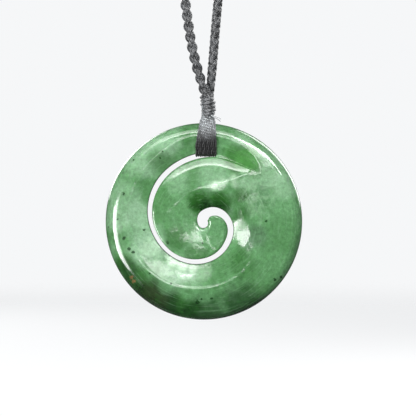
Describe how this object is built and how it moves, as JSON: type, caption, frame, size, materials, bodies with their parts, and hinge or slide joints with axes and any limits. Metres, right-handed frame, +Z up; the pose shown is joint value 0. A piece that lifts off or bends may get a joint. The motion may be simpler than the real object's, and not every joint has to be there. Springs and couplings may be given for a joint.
{
  "type": "koru pendant",
  "caption": "Round green stone koru pendant with a carved spiral slot, hung by a woven sling and a bound whipping from a plaited neck cord.",
  "frame": {"origin": "underside of the closure at the top of the neck loop, where the necklace hangs from a neck or a peg", "axes": "+Z up, the loop hangs in the XZ plane, the carved front faces -Y"},
  "size_m": [0.0641, 0.0071, 0.3624],
  "materials": {
    "jade": "polished",
    "sling_thread": "waxed",
    "whipping_thread": "waxed",
    "plaited_cord": "waxed",
    "knot_thread": "waxed"
  },
  "bodies": {
    "root": {"koru_disc": "jade", "sling": "sling_thread", "whipping": "whipping_thread", "neck_braid_left": "plaited_cord", "neck_braid_right": "plaited_cord", "back_knot": "knot_thread"}
  },
  "joints": []
}
